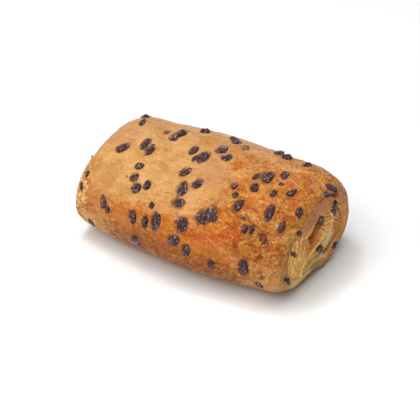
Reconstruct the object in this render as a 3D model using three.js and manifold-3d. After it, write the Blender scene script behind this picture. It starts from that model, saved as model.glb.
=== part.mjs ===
// A rolled raisin pastry: a sheet of laminated dough, studded with raisins, rolled up into a
// pillow-shaped log and baked on a tray. The roll lies along X with its front towards -Y and stands
// on its flat underside at z = 0. Its two ends show the swirl: the cut edges of the rolled sheet,
// with crevices between the turns and one open pocket beside the core. All sizes are millimetres.
import * as THREE from 'three';
import { mergeVertices } from 'three/addons/utils/BufferGeometryUtils.js';
import Module from 'manifold-3d';

// ---- Driving dimensions -------------------------------------------------------------------------
const ROLL_LENGTH = 115;
const ROLL_WIDTH = 80; // across the belly, half way along
const ROLL_HEIGHT = 48.9;
const TOP_SQUARENESS = 2.15; // superellipse exponents of the cross-section: 2 is an ellipse and more
const FRONT_BASE_SQUARENESS = 3.1; // is squarer. The base sits squarer in front than at the back
const BACK_BASE_SQUARENESS = 2.2;
const BELT = 0.42; // height of the widest line, as a share of the roll's height
const BASE_FLATTENING = 1.5; // how far the underside is pressed flat by the roll's weight

// The two ends: the share of the width that the sides lose towards the end, the radii with which
// the crust rolls over the end at the top and at the sides, and how far the end curls off the tray.
const ENDS = {
  left: { side: -1, narrowing: 0.242, topRim: 15.1, sideRim: 1.2, footLift: 3.8 },
  right: { side: 1, narrowing: 0.176, topRim: 16, sideRim: 5.3, footLift: 7.4 },
};
const FOOT_RIM = 10; // length over which an end curls up
// Under a curled-up end the tucked edge of the sheet hangs down behind the middle.
const HANGING_EDGE = { y: 8.1, halfWidth: 5.6, drop: { left: 3.6, right: 7.6 }, reach: 14 };

// The slow waves of the baked crust: radians per millimetre along the roll, waves per turn round
// it, and heights for sine by sine, sine by cosine, cosine by sine and cosine by cosine of the two.
const SWELLS = [
  { along: 0, round: 2, heights: [0, 0, -0.36, 0.19] },
  { along: 0, round: 3, heights: [0, 0, -0.12, -0.33] },
  { along: 0.055, round: 1, heights: [0, -0.04, 0, -0.29] },
  { along: 0.055, round: 2, heights: [0.18, 0.11, 0.21, -0.34] },
  { along: 0.055, round: 3, heights: [0, 0, 0.04, 0.2] },
  { along: 0.11, round: 1, heights: [-0.04, -0.2, 0.13, 0.29] },
  { along: 0.11, round: 2, heights: [0.02, -0.15, -0.35, 0.15] },
  { along: 0.11, round: 3, heights: [-0.47, -0.19, -0.15, -0.53] },
];

// The swirl: the sheet's free edge is tucked under the roll, and the gap between two turns runs
// inwards from there, up the back, over the top and down the front.
const SEAM_ANGLE = THREE.MathUtils.degToRad(256);
const FLAP = 3.4; // thickness of the free edge
const PITCH = 10.6; // how much deeper the gap lies after each turn
const CREVICES = [
  { from: 0.03, to: 0.27, beside: 0, width: 2, deep: 6 }, // over the tucked edge
  { from: 0.33, to: 0.6, beside: 0, width: 1.5, deep: 4 }, // under the top crust
  { from: 0.66, to: 0.96, beside: 0, width: 1.7, deep: 4.5 }, // round the front, above the base
  { from: 0.2, to: 0.4, beside: -3.2, width: 1.1, deep: 2 }, // laminations of single turns
  { from: 0.4, to: 0.86, beside: -5.5, width: 1.1, deep: 2 },
  { from: 0.62, to: 0.98, beside: 3.6, width: 1.2, deep: 2.5 },
];
const POCKET = { y: -1.8, z: 26.4, halfLength: 8.8, halfWidth: 5.2, deep: 7, lean: 24 };

const RAISIN_SIZES = {
  big: { length: 10.2, width: 6, thickness: 5 },
  large: { length: 8.6, width: 4.8, thickness: 4.6 },
  medium: { length: 6.5, width: 4.8, thickness: 4.2 },
  small: { length: 4.6, width: 3.3, thickness: 3 },
};
const RAISIN_RISE = 0.9; // how far a raisin stands out of the crust
const RISE_SPREAD = 0.25; // share by which that varies

// Where raisins show on the crust: millimetres along the roll, millimetres round the girth from
// the crest, positive down the front, and the lean of the long side from the girth in degrees,
// positive where its lower end leans to the right.
const RAISINS_SHOWN = {
  big: [[-0.8, 6.2, 8], [32.6, 5.1, 15]],
  large: [
    [-22.6, -2.8, 12], [-22, -9.4, 4], [-30.8, 10.6, 6], [-26.3, 13.5, 6], [-39.6, 17.6, -30],
    [-8.1, 3.4, 4], [3, -3.1, 10], [-6.1, 45.7, 10], [39.8, 55.5, -8], [29.4, 26.9, 3],
    [44.4, 26.4, 8], [16, 37.9, 0], [19.7, 34.3, 25], [0.4, 27.6, 8], [7.3, 43.4, -15],
  ],
  medium: [
    [9, 1.9, -12], [-3.2, 18.7, -25], [5.8, 22.5, -10], [2, 34.4, 85], [-24.9, 30.6, 0],
    [-21.4, 34.8, 60], [-19.5, 48, 10], [-11.8, 47.8, 0], [-37.4, 48.6, 15], [4.7, 51.4, 70],
    [11.3, 54.2, -15], [-17.7, 60.8, 0], [31.3, 15.2, 20], [38.5, -0.9, 12], [47.2, 9.2, -10],
    [29.5, -19.9, 10], [23.9, 58.4, 12], [3.9, -15.1, 10], [51.6, 30, 0], [24.4, -21.6, 10],
    [10.8, -11.8, 15], [-15.4, -19.3, 10], [40.6, -20, 0], [-42.7, -5.5, 20], [-46.4, -15.5, 0],
  ],
  small: [
    [-25.5, 24.5, 80], [-16.4, 31.9, 0], [-28.3, -4.4, 0], [-10.3, 39.7, -20], [28.4, 7.5, 0],
    [40.8, 15.1, 10], [22.5, 17.9, 10], [25.7, 22.5, 20], [37.1, 37.5, 0], [40.3, 36.7, 5],
    [54.5, 16.8, 5], [-46.6, 62.7, 20], [-52.4, 37.6, 0], [-53.8, 44.5, 10], [46.7, 63.8, 10],
    [56.2, -15.2, -30], [57.3, -19.9, -40], [40.5, 7.3, 0], [-4, 9.2, 10], [0.1, -18.6, 0],
    [35, 32.3, 90], [57.2, -8.5, -35],
  ],
};
// The same at the right end: across the roll and up, with the lean of the long side from the
// horizontal, and how far one sits inside the pocket.
const END_RAISINS = [
  { size: 'large', y: -28.4, z: 14, lean: 118 },
  { size: 'large', y: -24.2, z: 26.2, lean: 126 },
  { size: 'small', y: -19.2, z: 34.6, lean: 145 },
  { size: 'large', y: 4.8, z: 27.2, lean: 136, inset: 3 },
  { size: 'large', y: 13.8, z: 29.6, lean: 90 },
  { size: 'medium', y: -0.6, z: 16.2, lean: 141 },
  { size: 'small', y: 14.6, z: 9, lean: 5, inset: 0.8 },
];
const BACK_RAISINS = { rows: 4, each: 8, firstRow: -38, rowStep: -12, shake: 4.5 };
const CHANCE_SEED = 20;
const BACK_CHANCE_SEED = 121;

// ---- Fineness of the faceted surface ------------------------------------------------------------
const GIRTH_STEPS = 54;
const LENGTH_STEPS = 20;
const CAP_RINGS = 4;
const CREVICE_STEP = 0.05; // turns
const WELD = 1e-3; // vertices closer than this are one
const HAIR = 0.02; // gap left between vertices that touch without being joined

// ---- Small helpers ------------------------------------------------------------------------------
const { clamp, degToRad, smoothstep, lerp } = THREE.MathUtils;
const HALF_LENGTH = ROLL_LENGTH / 2;
const FULL_TURN = 2 * Math.PI;

/** A repeatable source of numbers from 0 to 1. */
function seededRandom(seed) {
  let state = seed >>> 0;
  return () => {
    state = (Math.imul(state, 1664525) + 1013904223) >>> 0;
    return state / 4294967296;
  };
}

/** How far a quarter round falls away: 0 at its radius from the end, 1 at the end itself. */
function quarterRound(fromEnd, radius) {
  const into = clamp((radius - fromEnd) / radius, 0, 1);
  return 1 - Math.sqrt(1 - into * into);
}

// ---- The crust ----------------------------------------------------------------------------------
/** Half width, height and foot of the roll's section at x. */
function sectionAt(x) {
  const { narrowing, topRim, sideRim, footLift } = x < 0 ? ENDS.left : ENDS.right;
  const fromEnd = HALF_LENGTH - Math.abs(x);
  const taper = 1 - narrowing * (x / HALF_LENGTH) ** 2;
  return {
    halfWidth: (ROLL_WIDTH / 2) * taper - sideRim * quarterRound(fromEnd, sideRim),
    height: ROLL_HEIGHT - topRim * quarterRound(fromEnd, topRim),
    foot: footLift * quarterRound(fromEnd, FOOT_RIM),
  };
}

/**
 * A point of a section's outline, or of a turn that lies `depth` inside it.
 * Angles run from the back (+Y) over the top and down the front to the underside.
 */
function outlinePoint({ halfWidth, height, foot }, angle, depth = 0) {
  const sine = Math.sin(angle);
  const cosine = Math.cos(angle);
  const belt = height * BELT;
  const y = Math.sign(cosine) * Math.abs(cosine) ** (2 / TOP_SQUARENESS) * (halfWidth - depth);
  if (sine >= 0) {
    const dome = height - belt - depth;
    return new THREE.Vector2(y, foot + belt + dome * sine ** (2 / TOP_SQUARENESS));
  }
  const squareness = cosine < 0 ? FRONT_BASE_SQUARENESS : BACK_BASE_SQUARENESS;
  const round = 1 - Math.abs(sine) ** (2 / squareness);
  const bowl = Math.max(-BASE_FLATTENING + (belt + BASE_FLATTENING) * round, 0);
  return new THREE.Vector2(y, foot + depth + bowl * (1 - depth / belt));
}

/** Lengths round the belly's outline, from which a girth in millimetres becomes an angle. */
const girthTable = (() => {
  const belly = sectionAt(0);
  const samples = 1440;
  const lengths = [0];
  let last = outlinePoint(belly, 0);
  for (let i = 1; i <= samples; i += 1) {
    const next = outlinePoint(belly, (i / samples) * FULL_TURN);
    lengths.push(lengths[i - 1] + next.distanceTo(last));
    last = next;
  }
  return { samples, lengths, total: lengths[samples], crest: lengths[samples / 4] };
})();

/** The angle at a girth, measured from the crest down the front. */
function angleAtGirth(girth) {
  const { samples, lengths, total, crest } = girthTable;
  const along = (((crest + girth) % total) + total) % total;
  const i = Math.max(lengths.findIndex((length) => length > along), 1);
  const part = (along - lengths[i - 1]) / (lengths[i] - lengths[i - 1]);
  return ((i - 1 + part) / samples) * FULL_TURN;
}

/** The slow unevenness of the baked roll, which fades out where it rests on the tray. */
function swell(x, angle, z) {
  const height = SWELLS.reduce((sum, { along, round, heights }) => {
    const [xSine, xCosine] = [Math.sin(along * x), Math.cos(along * x)];
    const [sine, cosine] = [Math.sin(round * angle), Math.cos(round * angle)];
    const parts = [xSine * sine, xSine * cosine, xCosine * sine, xCosine * cosine];
    return sum + parts.reduce((total, part, i) => total + part * heights[i], 0);
  }, 0);
  return height * smoothstep(z, 1, 14);
}

/** How far the tucked edge hangs down under an end. */
function hang(x, y, z) {
  const { y: middle, halfWidth, drop, reach } = HANGING_EDGE;
  const near = Math.exp(-(((y - middle) / halfWidth) ** 2)) * clamp(1 - z / reach, 0, 1);
  const curl = quarterRound(HALF_LENGTH - Math.abs(x), FOOT_RIM);
  return (x < 0 ? drop.left : drop.right) * near * curl;
}

/** The crust's surface at x and an angle. */
function crustPoint(x, angle) {
  const flat = outlinePoint(sectionAt(x), angle);
  const push = swell(x, angle, flat.y);
  const z = flat.y + push * Math.sin(angle) - hang(x, flat.x, flat.y);
  return new THREE.Vector3(x, flat.x + push * Math.cos(angle), Math.max(z, 0));
}

/** A place on the crust with the directions back along the roll, round it and out of it. */
function crustFrame(x, girth) {
  const step = 0.5;
  const at = (dx, dg) =>
    crustPoint(clamp(x + dx, -HALF_LENGTH, HALF_LENGTH), angleAtGirth(girth + dg));
  const back = at(-step, 0).sub(at(step, 0)).normalize();
  const round = at(0, step).sub(at(0, -step)).normalize();
  const outward = new THREE.Vector3().crossVectors(back, round).normalize();
  return { point: at(0, 0), back: back.crossVectors(round, outward), round, outward };
}

/** The middle of the swirl at an end, where the rings of its face close up. */
function heartOf({ side }) {
  const { height, foot } = sectionAt(side * HALF_LENGTH);
  return new THREE.Vector3(side * (HALF_LENGTH + faceBulge(0)), 0, foot + height * BELT);
}

/** How far an end's face stands out of its plane, at a share of the way from heart to crust. */
function faceBulge(share) {
  return 1.2 * (1 - share ** 2);
}

/** The whole log as one closed surface: rings along the roll, and rings that close each end. */
function logGeometry() {
  const angles = Array.from({ length: GIRTH_STEPS }, (_, i) =>
    angleAtGirth((i / GIRTH_STEPS) * girthTable.total));
  const crust = Array.from({ length: LENGTH_STEPS + 1 }, (_, i) => {
    // Closer together towards the ends, where the crust turns over.
    const x = HALF_LENGTH * Math.sin((i / LENGTH_STEPS - 0.5) * Math.PI);
    return angles.map((angle) => crustPoint(x, angle));
  });
  const face = (ring, end) =>
    Array.from({ length: CAP_RINGS - 1 }, (_, k) => {
      const share = 1 - (k + 1) / CAP_RINGS;
      const centre = heartOf(end);
      return ring.map((p) => {
        const q = centre.clone().lerp(p, share);
        q.x = end.side * (HALF_LENGTH + faceBulge(share));
        return q;
      });
    });
  const rings = [
    ...face(crust[0], ENDS.left).reverse(),
    ...crust,
    ...face(crust[LENGTH_STEPS], ENDS.right),
  ];
  const points = [heartOf(ENDS.left), ...rings.flat(), heartOf(ENDS.right)];
  const vertex = (ring, i) => 1 + ring * GIRTH_STEPS + (i % GIRTH_STEPS);
  const index = [];
  for (let i = 0; i < GIRTH_STEPS; i += 1) {
    index.push(0, vertex(0, i + 1), vertex(0, i));
    for (let ring = 0; ring + 1 < rings.length; ring += 1) {
      const here = vertex(ring, i);
      const next = vertex(ring, i + 1);
      const beyond = vertex(ring + 1, i);
      const across = vertex(ring + 1, i + 1);
      index.push(here, next, across, here, across, beyond);
    }
    index.push(points.length - 1, vertex(rings.length - 1, i), vertex(rings.length - 1, i + 1));
  }
  return indexedGeometry(points, index);
}

// ---- The swirl at the ends ----------------------------------------------------------------------
/** A point of the gap between two turns, so many turns in from the seam, in the plane of an end. */
function swirlPoint({ side }, turns, beside) {
  const section = sectionAt(side * (HALF_LENGTH - 1));
  return outlinePoint(section, SEAM_ANGLE + turns * FULL_TURN, FLAP + PITCH * turns + beside);
}

/** A wedge-shaped crevice cut into an end along the swirl, deepest and widest half way along. */
function creviceGeometry(end, { from, to, beside, width, deep }) {
  const steps = Math.ceil((to - from) / CREVICE_STEP);
  const points = [];
  for (let i = 0; i <= steps; i += 1) {
    const turns = lerp(from, to, i / steps);
    const here = swirlPoint(end, turns, beside);
    const ahead = swirlPoint(end, turns + 0.003, beside).sub(here).normalize();
    const normal = new THREE.Vector2(-ahead.y, ahead.x);
    const fade = 0.3 + 0.7 * Math.sin((Math.PI * (i + 0.5)) / (steps + 1));
    const ripple = 1 + 0.3 * Math.sin(19 * turns + end.side);
    const mouth = { x: HALF_LENGTH + 6, half: width * fade * 0.95 };
    const floor = { x: HALF_LENGTH - deep * fade * ripple, half: width * fade * 0.18 };
    [[mouth, 1], [floor, 1], [floor, -1], [mouth, -1]].forEach(([{ x, half }, hand]) => {
      const p = here.clone().addScaledVector(normal, half * hand);
      points.push(new THREE.Vector3(end.side * x, p.x, p.y));
    });
  }
  const corner = (i, k) => 4 * i + (k % 4);
  const index = [0, 1, 2, 0, 2, 3];
  for (let i = 0; i < steps; i += 1) {
    for (let k = 0; k < 4; k += 1) {
      index.push(corner(i, k), corner(i + 1, k), corner(i + 1, k + 1));
      index.push(corner(i, k), corner(i + 1, k + 1), corner(i, k + 1));
    }
  }
  index.push(corner(steps, 0), corner(steps, 2), corner(steps, 1));
  index.push(corner(steps, 0), corner(steps, 3), corner(steps, 2));
  return indexedGeometry(points, end.side > 0 ? index : index.reverse());
}

/** The open pocket beside the core, where two turns have come apart: a lens that narrows inwards. */
function pocketGeometry({ side }) {
  const lens = new THREE.SphereGeometry(1, 12, 7);
  lens.scale(POCKET.deep, POCKET.halfLength, POCKET.halfWidth);
  lens.rotateX(degToRad(POCKET.lean));
  lens.translate(side * (HALF_LENGTH + 1.5), POCKET.y, POCKET.z);
  return lens;
}

// ---- The raisins --------------------------------------------------------------------------------
/** A lumpy oval, its long side along Y and its thickness along Z. */
function raisinGeometry({ length, width, thickness }, random) {
  const round = length > 5 ? new THREE.OctahedronGeometry(1, 1) : new THREE.IcosahedronGeometry(1, 0);
  round.deleteAttribute('normal');
  round.deleteAttribute('uv');
  const raisin = mergeVertices(round, WELD);
  const position = raisin.getAttribute('position');
  for (let i = 0; i < position.count; i += 1) {
    const dent = 1 + 0.22 * (random() - 0.5);
    position.setXYZ(i, position.getX(i) * dent, position.getY(i) * dent, position.getZ(i));
  }
  raisin.scale(width / 2, length / 2, thickness / 2);
  return raisin;
}

/** A raisin pressed into the dough so that only its top stands out. */
function placedRaisin({ size, frame, lean, rise }, random) {
  const raisin = raisinGeometry(RAISIN_SIZES[size], random);
  raisin.rotateZ(lean);
  const sunk = RAISIN_SIZES[size].thickness / 2 - rise;
  const centre = frame.point.clone().addScaledVector(frame.outward, -sunk);
  const basis = new THREE.Matrix4().makeBasis(frame.back, frame.round, frame.outward);
  return raisin.applyMatrix4(basis.setPosition(centre));
}

/** A place in the swirl of an end, with directions like those of a place on the crust. */
function faceFrame(side, y, z, inset) {
  return {
    point: new THREE.Vector3(side * (HALF_LENGTH + 0.8 - inset), y, z),
    back: new THREE.Vector3(0, 0, -side),
    round: new THREE.Vector3(0, 1, 0),
    outward: new THREE.Vector3(side, 0, 0),
  };
}

/** Every raisin that shows: those in sight where they lie, those of the hidden sides by chance. */
function raisinPlaces() {
  let random = seededRandom(CHANCE_SEED);
  const shake = (amount) => (random() - 0.5) * 2 * amount;
  const anySize = () => ['large', 'medium', 'medium', 'small'][Math.floor(random() * 4)];
  const anyRise = () => RAISIN_RISE * (1 + shake(RISE_SPREAD));
  const places = [];
  const onCrust = (size, x, girth, lean) =>
    places.push({ size, frame: crustFrame(x, girth), lean: degToRad(lean), rise: anyRise() });
  const onFace = (size, side, y, z, lean, inset) => {
    const frame = faceFrame(side, y, z, inset);
    places.push({ size, frame, lean: side * degToRad(lean), rise: anyRise() });
  };
  Object.entries(RAISINS_SHOWN).forEach(([size, shown]) =>
    shown.forEach(([x, girth, lean]) => onCrust(size, x, girth, lean)));
  random = seededRandom(BACK_CHANCE_SEED);
  END_RAISINS.forEach(({ size, y, z, lean, inset = 0 }) => {
    onFace(size, ENDS.right.side, y, z, lean, inset);
    onFace(size, ENDS.left.side, y * 0.9 + shake(2), z + shake(2), lean + shake(25), inset);
  });
  for (let row = 0; row < BACK_RAISINS.rows; row += 1) {
    for (let i = 0; i < BACK_RAISINS.each; i += 1) {
      const along = (i + 0.5 + (row - 1.5) / BACK_RAISINS.rows) / BACK_RAISINS.each;
      const x = lerp(-0.88, 0.88, along) * HALF_LENGTH + shake(BACK_RAISINS.shake);
      const girth = BACK_RAISINS.firstRow + BACK_RAISINS.rowStep * row + shake(BACK_RAISINS.shake);
      onCrust(anySize(), x, girth, shake(35));
    }
  }
  return places;
}

/** The raisins as geometries, each with its own dents. */
function raisinGeometries() {
  const random = seededRandom(CHANCE_SEED + 1);
  return raisinPlaces().map((place) => placedRaisin(place, random));
}

// ---- Joining and cutting ------------------------------------------------------------------------
/** A geometry of shared vertices from points and triangle corners. */
function indexedGeometry(points, index) {
  return new THREE.BufferGeometry().setFromPoints(points).setIndex(index);
}

const wasm = await Module();
wasm.setup();

/** A closed geometry as a solid. */
function solidOf(geometry) {
  const bare = geometry.clone();
  bare.deleteAttribute('normal');
  bare.deleteAttribute('uv');
  const merged = mergeVertices(bare, WELD);
  return new wasm.Manifold(new wasm.Mesh({
    numProp: 3,
    vertProperties: new Float32Array(merged.getAttribute('position').array),
    triVerts: new Uint32Array(merged.index.array),
  }));
}

/** A solid as a geometry. */
function geometryOf(solid) {
  const { vertProperties, triVerts } = solid.getMesh();
  const geometry = new THREE.BufferGeometry();
  geometry.setAttribute('position', new THREE.BufferAttribute(new Float32Array(vertProperties), 3));
  geometry.setIndex(new THREE.BufferAttribute(new Uint32Array(triVerts), 1));
  geometry.computeVertexNormals();
  return geometry;
}

/** The largest body of a solid: without loose crumbs, and with sealed hollows filled. */
function outerBody(solid) {
  return solid.decompose().reduce((a, b) => (b.volume() > a.volume() ? b : a));
}

/** Moves vertices that touch without being joined a hair apart, each towards its own neighbours. */
function parted(geometry) {
  const position = geometry.getAttribute('position');
  const corners = Array.from(geometry.index.array);
  const at = (i) => new THREE.Vector3().fromBufferAttribute(position, i);
  const places = new Map();
  for (let i = 0; i < position.count; i += 1) {
    const place = at(i).toArray().map((value) => Math.round(value / WELD)).join();
    if (!places.has(place)) {
      places.set(place, i);
      continue;
    }
    const neighbours = corners.flatMap((corner, c) => {
      const first = c - (c % 3);
      return corner === i ? corners.slice(first, first + 3) : [];
    }).filter((corner) => corner !== i);
    const middle = neighbours.reduce((sum, n) => sum.add(at(n)), new THREE.Vector3());
    const away = middle.divideScalar(neighbours.length).sub(at(i)).setLength(HAIR);
    position.setXYZ(i, ...at(i).add(away).toArray());
  }
  return geometry;
}

/** The log with the swirl cut into its ends and its raisins fused to the crust. */
function pastrySolid() {
  const cuts = Object.values(ENDS).flatMap((end) =>
    [...CREVICES.map((crevice) => creviceGeometry(end, crevice)), pocketGeometry(end)]);
  const dough = cuts.reduce((solid, cut) => solid.subtract(solidOf(cut)), solidOf(logGeometry()));
  return outerBody(raisinGeometries().reduce((solid, one) => solid.add(solidOf(one)), dough));
}

// ---- The part -----------------------------------------------------------------------------------
const pastry = new THREE.Mesh(
  parted(geometryOf(pastrySolid())),
  new THREE.MeshStandardMaterial({ color: 0xc98a45, roughness: 0.5, metalness: 0 }),
);
pastry.name = 'pastry';

const part = new THREE.Group();
part.name = 'rolled_raisin_pastry';
part.add(pastry);

export default part;
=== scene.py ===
"""A rolled raisin pastry on a pale floor: its crust, its two swirled ends and its raisins."""

import logging
import math
from dataclasses import dataclass
from enum import Enum
from itertools import product
from typing import Iterator

import bmesh
import bpy
import numpy as np
from mathutils import Matrix, Vector


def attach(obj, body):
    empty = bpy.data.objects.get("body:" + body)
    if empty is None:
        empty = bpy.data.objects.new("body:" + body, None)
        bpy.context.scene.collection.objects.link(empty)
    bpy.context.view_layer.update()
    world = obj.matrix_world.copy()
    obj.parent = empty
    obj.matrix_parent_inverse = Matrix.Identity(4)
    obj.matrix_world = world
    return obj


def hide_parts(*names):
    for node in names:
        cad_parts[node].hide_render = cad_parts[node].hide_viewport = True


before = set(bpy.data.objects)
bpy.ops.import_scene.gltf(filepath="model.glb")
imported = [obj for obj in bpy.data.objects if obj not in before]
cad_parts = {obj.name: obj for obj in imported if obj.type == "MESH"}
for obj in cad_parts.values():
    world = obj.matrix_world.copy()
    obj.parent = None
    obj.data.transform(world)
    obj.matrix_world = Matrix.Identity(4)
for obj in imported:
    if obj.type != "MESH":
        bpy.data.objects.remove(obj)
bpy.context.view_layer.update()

log = logging.getLogger("pastry")

MM = 0.001
FULL_TURN = 2 * math.pi
BODY = "root"
NODE = "pastry"
WELD = 1e-7

Array = np.ndarray
Pair = tuple[Array, Array]
Values = dict[str, Array]
Range = tuple[float, float]
Triple = tuple[float, float, float]
Colour = Triple
Piece = bpy.types.Object
Material = bpy.types.Material
Socket = bpy.types.NodeSocket


# ---- Small helpers ----
def srgb(red: int, green: int, blue: int) -> Colour:
    """A colour named in screen values from 0 to 255, as linear light."""

    def linear(value: float) -> float:
        """One of its three values."""
        share = value / 255
        return share / 12.92 if share <= 0.04045 else ((share + 0.055) / 1.055) ** 2.4

    return linear(red), linear(green), linear(blue)


def smooth(values: Array, low: float, high: float) -> Array:
    """0 below low and 1 above high, with a soft step between them. High may be the lower one."""
    share = np.clip((values - low) / (high - low), 0, 1)
    return share * share * (3 - 2 * share)


def bell(values: Array, centre: float, width: float) -> Array:
    """A soft hump of height 1."""
    return np.exp(-(((values - centre) / width) ** 2))


@dataclass(frozen=True)
class Grain:
    """Soft random unevenness between -1 and 1, the same on every run."""

    seed: int
    cells: int = 32

    def at(self, places: Array) -> Array:
        """The unevenness at places given in cells.

        Args:
            places: an array whose last axis holds three coordinates.

        Returns:
            One value for each place.
        """
        table = np.random.default_rng(self.seed).uniform(-1, 1, (self.cells,) * 3)
        base = np.floor(places).astype(int)
        part = places - base
        part = part * part * (3 - 2 * part)
        total = np.zeros(places.shape[:-1])
        for corner in product((0, 1), repeat=3):
            index = (base + corner) % self.cells
            weight = np.prod(np.where(corner, part, 1 - part), axis=-1)
            total += table[index[..., 0], index[..., 1], index[..., 2]] * weight
        return total

    def rough(self, places: Array, octaves: int = 4, fade: float = 0.5) -> Array:
        """Unevenness with ever finer detail on it.

        Args:
            places: an array whose last axis holds three coordinates, in cells.
            octaves: how many layers of detail there are.
            fade: how much weaker each layer is than the one before it.

        Returns:
            One value for each place.
        """
        total, strength, whole = np.zeros(places.shape[:-1]), 1.0, 0.0
        for octave in range(octaves):
            total += strength * self.at(places * 2**octave + 7.3 * octave)
            whole += strength
            strength *= fade
        return total / whole


@dataclass
class Draws:
    """A repeatable source of numbers, the same one that the solid's hidden raisins come from."""

    state: int
    factor: int = 1664525
    step: int = 1013904223
    size: int = 2**32

    def next(self) -> float:
        """A number from 0 to 1."""
        self.state = (self.state * self.factor + self.step) % self.size
        return self.state / self.size

    def shake(self, amount: float) -> float:
        """A number between -amount and amount."""
        return (self.next() - 0.5) * 2 * amount


# ---- The form of the roll ----
@dataclass(frozen=True)
class End:
    """How the roll closes towards one end, in millimetres."""

    side: int
    narrowing: float
    top_rim: float
    side_rim: float
    foot_lift: float
    hang: float
    layer_relief: float


LEFT_END = End(
    side=-1, narrowing=0.242, top_rim=15.1, side_rim=1.2, foot_lift=3.8, hang=3.6, layer_relief=0.35
)
RIGHT_END = End(
    side=1, narrowing=0.176, top_rim=16, side_rim=5.3, foot_lift=7.4, hang=7.6, layer_relief=0.6
)


@dataclass(frozen=True)
class Swell:
    """A slow wave of the baked crust: radians a millimetre along, waves round, four heights."""

    along: float
    round: int
    heights: tuple[float, float, float, float]


SWELLS = (
    Swell(0, 2, (0, 0, -0.36, 0.19)),
    Swell(0, 3, (0, 0, -0.12, -0.33)),
    Swell(0.055, 1, (0, -0.04, 0, -0.29)),
    Swell(0.055, 2, (0.18, 0.11, 0.21, -0.34)),
    Swell(0.055, 3, (0, 0, 0.04, 0.2)),
    Swell(0.11, 1, (-0.04, -0.2, 0.13, 0.29)),
    Swell(0.11, 2, (0.02, -0.15, -0.35, 0.15)),
    Swell(0.11, 3, (-0.47, -0.19, -0.15, -0.53)),
)


@dataclass
class Place:
    """A place on the surface with its directions."""

    point: Array
    back: Array
    round: Array
    outward: Array


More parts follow.
